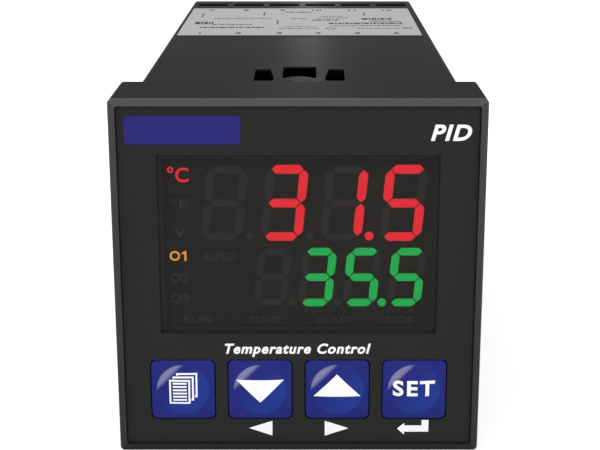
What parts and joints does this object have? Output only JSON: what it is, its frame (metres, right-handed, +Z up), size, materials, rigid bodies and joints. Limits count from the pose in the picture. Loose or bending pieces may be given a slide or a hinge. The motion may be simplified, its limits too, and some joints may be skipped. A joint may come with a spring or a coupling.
{
  "type": "panel-mount temperature controller",
  "caption": "Square panel-mount PID temperature controller: dark front frame, stacked red and green digital readouts over a row of blue push keys, and a long body with rear terminals.",
  "frame": {"origin": "middle of the plane where the front frame meets the panel, on the body's axis", "axes": "+X to the right of someone facing it, +Y into the panel along the body, +Z up"},
  "size_m": [0.048, 0.116, 0.048],
  "materials": {
    "case_plastic": "fine matt moulded grain",
    "bezel_plastic": "fine matt moulded grain",
    "frame_plastic": "matt moulded",
    "overlay_sheet": "printed film, satin",
    "plate_blue": "printed film, satin",
    "lens_smoked": "smoked, clear",
    "key_blue": "embossed film, satin",
    "seal_rubber": "soft matt",
    "label_film": "printed silver film",
    "display_block": "matt",
    "red_lit": "lit diffuser",
    "green_lit": "lit diffuser",
    "amber_lit": "lit diffuser",
    "bars_dark": "unlit diffuser",
    "board_green": "solder resist",
    "pin_tin": "tinned",
    "screw_steel": "zinc plated",
    "cage_steel": "zinc plated",
    "contact_brass": "tinned brass",
    "can_metal": "bright can",
    "chip_black": "moulded epoxy",
    "socket_plastic": "moulded",
    "switch_plastic": "moulded",
    "terminal_plastic": "matt moulded",
    "relay_plastic": "moulded",
    "ferrite": "fired ferrite",
    "winding_tape": "taped winding",
    "capacitor_sleeve": "shrunk sleeve",
    "varistor_blue": "dipped lacquer"
  },
  "bodies": {
    "controller": {"alarm_relay": "relay_plastic", "back_board": "board_green", "bezel": "bezel_plastic", "board_screws": "screw_steel", "board_spacers": "frame_plastic", "case": "case_plastic", "case_seal": "seal_rubber", "control_board": "board_green", "control_header": "socket_plastic", "control_socket": "socket_plastic", "converter_chips": "chip_black", "couplers": "chip_black", "crystal": "can_metal", "dark_lights": "bars_dark", "display_board": "board_green", "display_driver": "chip_black", "display_module": "display_block", "display_pins": "pin_tin", "inner_frame": "frame_plastic", "input_capacitor": "capacitor_sleeve", "lens": "lens_smoked", "name_plate": "plate_blue", "output_capacitors": "capacitor_sleeve", "output_light": "amber_lit", "output_relay": "relay_plastic", "overlay": "overlay_sheet", "power_board": "board_green", "power_chip": "chip_black", "power_header": "socket_plastic", "power_socket": "socket_plastic", "processor": "chip_black", "pv_digits_dark": "bars_dark", "pv_digits_lit": "red_lit", "rating_label": "label_film", "sv_digits_dark": "bars_dark", "sv_digits_lit": "green_lit", "switch_down": "switch_plastic", "switch_menu": "switch_plastic", "switch_set": "switch_plastic", "switch_up": "switch_plastic", "terminal_block_lower": "terminal_plastic", "terminal_block_upper": "terminal_plastic", "terminal_cages": "cage_steel", "terminal_contacts": "contact_brass", "terminal_screws": "screw_steel", "transformer_base": "socket_plastic", "transformer_core": "ferrite", "transformer_winding": "winding_tape", "unit_light": "red_lit", "varistor": "varistor_blue"},
    "menu_key": {"key_menu": "key_blue", "plunger_menu": "switch_plastic"},
    "down_key": {"key_down": "key_blue", "plunger_down": "switch_plastic"},
    "up_key": {"key_up": "key_blue", "plunger_up": "switch_plastic"},
    "set_key": {"key_set": "key_blue", "plunger_set": "switch_plastic"}
  },
  "joints": [
    {"name": "menu_key_press", "type": "slide", "parent": "controller", "child": "menu_key", "axis": [0, 1, 0], "range_m": [0, 0.0005], "stiffness_N_per_m": 2400},
    {"name": "down_key_press", "type": "slide", "parent": "controller", "child": "down_key", "axis": [0, 1, 0], "range_m": [0, 0.0005], "stiffness_N_per_m": 2400},
    {"name": "up_key_press", "type": "slide", "parent": "controller", "child": "up_key", "axis": [0, 1, 0], "range_m": [0, 0.0005], "stiffness_N_per_m": 2400},
    {"name": "set_key_press", "type": "slide", "parent": "controller", "child": "set_key", "axis": [0, 1, 0], "range_m": [0, 0.0005], "stiffness_N_per_m": 2400}
  ]
}
